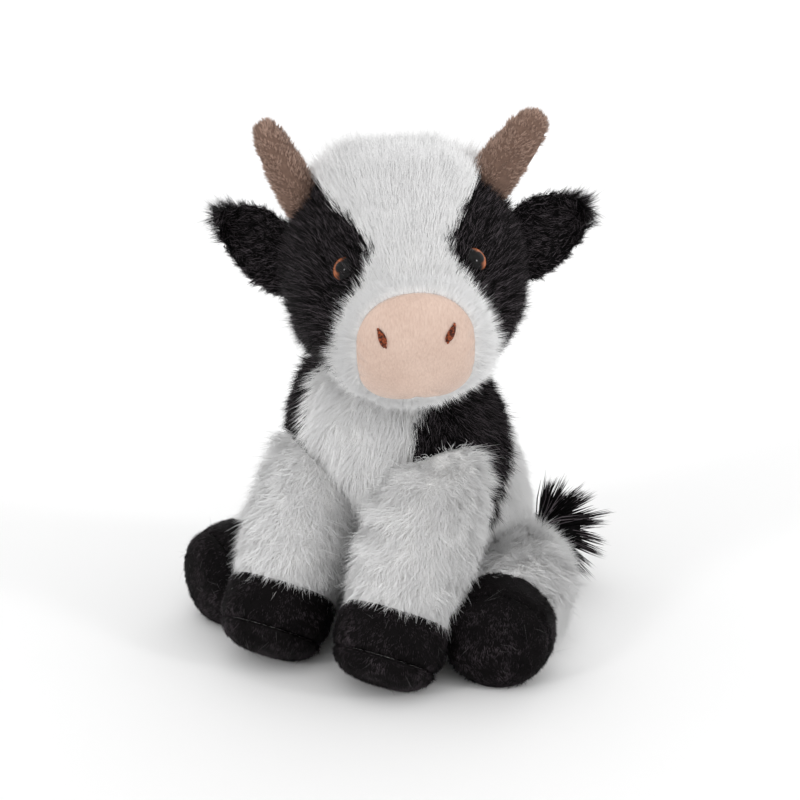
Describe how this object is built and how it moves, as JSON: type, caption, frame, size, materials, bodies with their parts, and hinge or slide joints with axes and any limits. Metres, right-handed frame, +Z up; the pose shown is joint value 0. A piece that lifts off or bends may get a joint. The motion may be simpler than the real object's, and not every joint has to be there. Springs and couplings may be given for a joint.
{
  "type": "plush cow",
  "caption": "Sitting plush cow: stuffed body under black and white fur panels, short-pile horns, hooves and muzzle, button eyes; head, ears, legs and tail bend on their seams.",
  "frame": {"origin": "middle of the flat seat under the torso, on the floor the toy sits on", "axes": "+Z up, -Y forward along the body, +X to the cow's left; the head looks about 35 degrees to the cow's left"},
  "size_m": [0.1804, 0.1769, 0.2369],
  "materials": {
    "white_plush": "long pile",
    "black_plush": "long pile",
    "hoof_cloth": "short pile",
    "horn_cloth": "short pile",
    "muzzle_cloth": "fine short nap",
    "embroidery": "satin stitch",
    "eye": "polished",
    "washer": "moulded",
    "thread": "cotton",
    "pouch_cloth": "plain weave",
    "filling": "loose fibre"
  },
  "bodies": {
    "torso": {"torso_cover": "white_plush", "shoulder_patch_left": "black_plush", "shoulder_patch_right": "black_plush", "torso_filling": "filling", "pellet_pouch": "pouch_cloth"},
    "neck": {"neck_thread": "thread"},
    "head": {"head_blaze": "white_plush", "head_side_left": "black_plush", "head_side_right": "black_plush", "muzzle_pad": "muzzle_cloth", "head_filling": "filling", "nostril_left": "embroidery", "nostril_right": "embroidery", "eye_left": "eye", "eye_right": "eye", "eye_washer_left": "washer", "eye_washer_right": "washer", "horn_left": "horn_cloth", "horn_right": "horn_cloth"},
    "ear_left": {"ear_front_left": "black_plush", "ear_back_left": "black_plush"},
    "ear_right": {"ear_front_right": "black_plush", "ear_back_right": "black_plush"},
    "tail": {"tail_stem": "black_plush", "tail_tuft": "black_plush"},
    "front_leg_left": {"front_leg_left_sleeve": "white_plush", "front_leg_left_hoof": "hoof_cloth", "front_leg_left_sole": "hoof_cloth", "front_leg_left_filling": "filling"},
    "front_leg_right": {"front_leg_right_sleeve": "white_plush", "front_leg_right_hoof": "hoof_cloth", "front_leg_right_sole": "hoof_cloth", "front_leg_right_filling": "filling"},
    "hind_leg_left": {"hind_leg_left_sleeve": "white_plush", "hind_leg_left_hoof": "hoof_cloth", "hind_leg_left_sole": "hoof_cloth", "hind_leg_left_filling": "filling"},
    "hind_leg_right": {"hind_leg_right_sleeve": "white_plush", "hind_leg_right_hoof": "hoof_cloth", "hind_leg_right_sole": "hoof_cloth", "hind_leg_right_filling": "filling"}
  },
  "joints": [
    {"name": "neck_turn", "type": "hinge", "parent": "torso", "child": "neck", "pos_m": [0.003, -0.016, 0.108], "axis": [0, 0, 1], "range_deg": [-15, 15], "stiffness_Nm_per_rad": 1.5},
    {"name": "head_nod", "type": "hinge", "parent": "neck", "child": "head", "pos_m": [0.003, -0.016, 0.108], "axis": [0.818, 0.5728, 0.0523], "range_deg": [-6, 6], "stiffness_Nm_per_rad": 1.5},
    {"name": "ear_flap_left", "type": "hinge", "parent": "head", "child": "ear_left", "pos_m": [0.04225, 0.00228, 0.1781], "axis": [-0.1619, -0.1162, 0.9799], "range_deg": [-12, 12], "stiffness_Nm_per_rad": 0.05},
    {"name": "ear_flap_right", "type": "hinge", "parent": "head", "child": "ear_right", "pos_m": [-0.03514, -0.05192, 0.17315], "axis": [0.0783, 0.0536, 0.9955], "range_deg": [-12, 12], "stiffness_Nm_per_rad": 0.05},
    {"name": "front_leg_swing_left", "type": "hinge", "parent": "torso", "child": "front_leg_left", "pos_m": [0.029, -0.034, 0.084], "axis": [-1, 0, 0], "range_deg": [0, 25], "stiffness_Nm_per_rad": 0.4},
    {"name": "front_leg_swing_right", "type": "hinge", "parent": "torso", "child": "front_leg_right", "pos_m": [-0.029, -0.034, 0.084], "axis": [-1, 0, 0], "range_deg": [0, 25], "stiffness_Nm_per_rad": 0.4},
    {"name": "hind_leg_splay_left", "type": "hinge", "parent": "torso", "child": "hind_leg_left", "pos_m": [0.046, 0.001, 0.0255], "axis": [0, 0, 1], "range_deg": [0, 15], "stiffness_Nm_per_rad": 0.4},
    {"name": "hind_leg_splay_right", "type": "hinge", "parent": "torso", "child": "hind_leg_right", "pos_m": [-0.046, 0.001, 0.0255], "axis": [0, 0, -1], "range_deg": [0, 15], "stiffness_Nm_per_rad": 0.4},
    {"name": "tail_swing", "type": "hinge", "parent": "torso", "child": "tail", "pos_m": [0.00972, 0.05022, 0.02596], "axis": [0, 0, 1], "range_deg": [-8, 30], "stiffness_Nm_per_rad": 0.05}
  ]
}
